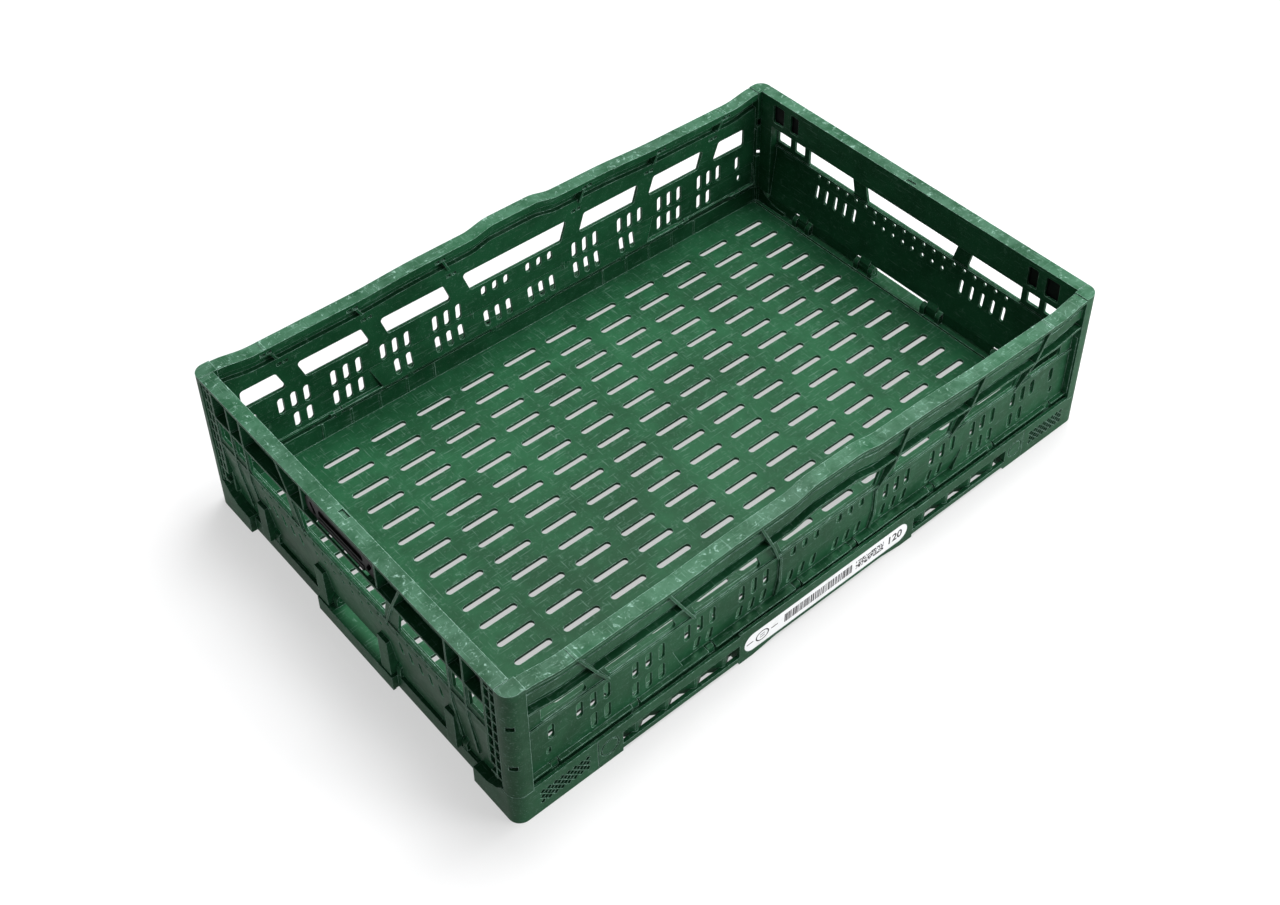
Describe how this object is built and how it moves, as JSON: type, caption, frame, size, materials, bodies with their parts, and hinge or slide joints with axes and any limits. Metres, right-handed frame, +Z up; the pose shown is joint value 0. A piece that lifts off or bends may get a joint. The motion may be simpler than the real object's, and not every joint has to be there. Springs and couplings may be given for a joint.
{
  "type": "folding stacking crate",
  "caption": "Low ventilated plastic stacking crate with slotted walls, rounded corner posts, hand-holds, and end walls that fold flat when their latches are lifted.",
  "frame": {"origin": "centre of the footprint, on the floor under the base", "axes": "+X along the long side, +Y towards the back long wall, +Z up"},
  "size_m": [0.6, 0.4, 0.1465],
  "materials": {
    "green_plastic": "worn mid-green polypropylene with pale scuffs on the rims",
    "black_plastic": "black moulded polypropylene",
    "label": "white printed film label"
  },
  "bodies": {
    "frame": {"base_tray": "green_plastic", "long_wall_front": "green_plastic", "long_wall_back": "green_plastic", "label_front": "label"},
    "wall_left": {"short_wall_left": "green_plastic"},
    "wall_right": {"short_wall_right": "green_plastic"},
    "bar_left": {"lift_bar_left": "black_plastic"},
    "bar_right": {"lift_bar_right": "black_plastic"},
    "latch_lf": {"latch_left_front": "black_plastic"},
    "latch_lb": {"latch_left_back": "black_plastic"},
    "latch_rf": {"latch_right_front": "black_plastic"},
    "latch_rb": {"latch_right_back": "black_plastic"}
  },
  "joints": [
    {"name": "fold_left", "type": "hinge", "parent": "frame", "child": "wall_left", "pos_m": [-0.29, 0, 0.02], "axis": [0, 1, 0], "range_deg": [0, 90]},
    {"name": "fold_right", "type": "hinge", "parent": "frame", "child": "wall_right", "pos_m": [0.29, 0, 0.02], "axis": [0, -1, 0], "range_deg": [0, 90]},
    {"name": "lift_left", "type": "slide", "parent": "wall_left", "child": "bar_left", "axis": [0, 0, 1], "range_m": [0, 0.006], "stiffness_N_per_m": 150},
    {"name": "lift_right", "type": "slide", "parent": "wall_right", "child": "bar_right", "axis": [0, 0, 1], "range_m": [0, 0.006], "stiffness_N_per_m": 150},
    {"name": "latch_left_front_slide", "type": "slide", "parent": "wall_left", "child": "latch_lf", "axis": [0, 1, 0], "range_m": [0, 0.0034]},
    {"name": "latch_left_back_slide", "type": "slide", "parent": "wall_left", "child": "latch_lb", "axis": [0, -1, 0], "range_m": [0, 0.0034]},
    {"name": "latch_right_front_slide", "type": "slide", "parent": "wall_right", "child": "latch_rf", "axis": [0, 1, 0], "range_m": [0, 0.0034]},
    {"name": "latch_right_back_slide", "type": "slide", "parent": "wall_right", "child": "latch_rb", "axis": [0, -1, 0], "range_m": [0, 0.0034]}
  ],
  "couplings": [
    {"joint": "latch_left_front_slide", "follows": "lift_left", "ratio": 0.5666},
    {"joint": "latch_left_back_slide", "follows": "lift_left", "ratio": 0.5666},
    {"joint": "latch_right_front_slide", "follows": "lift_right", "ratio": 0.5666},
    {"joint": "latch_right_back_slide", "follows": "lift_right", "ratio": 0.5666}
  ]
}
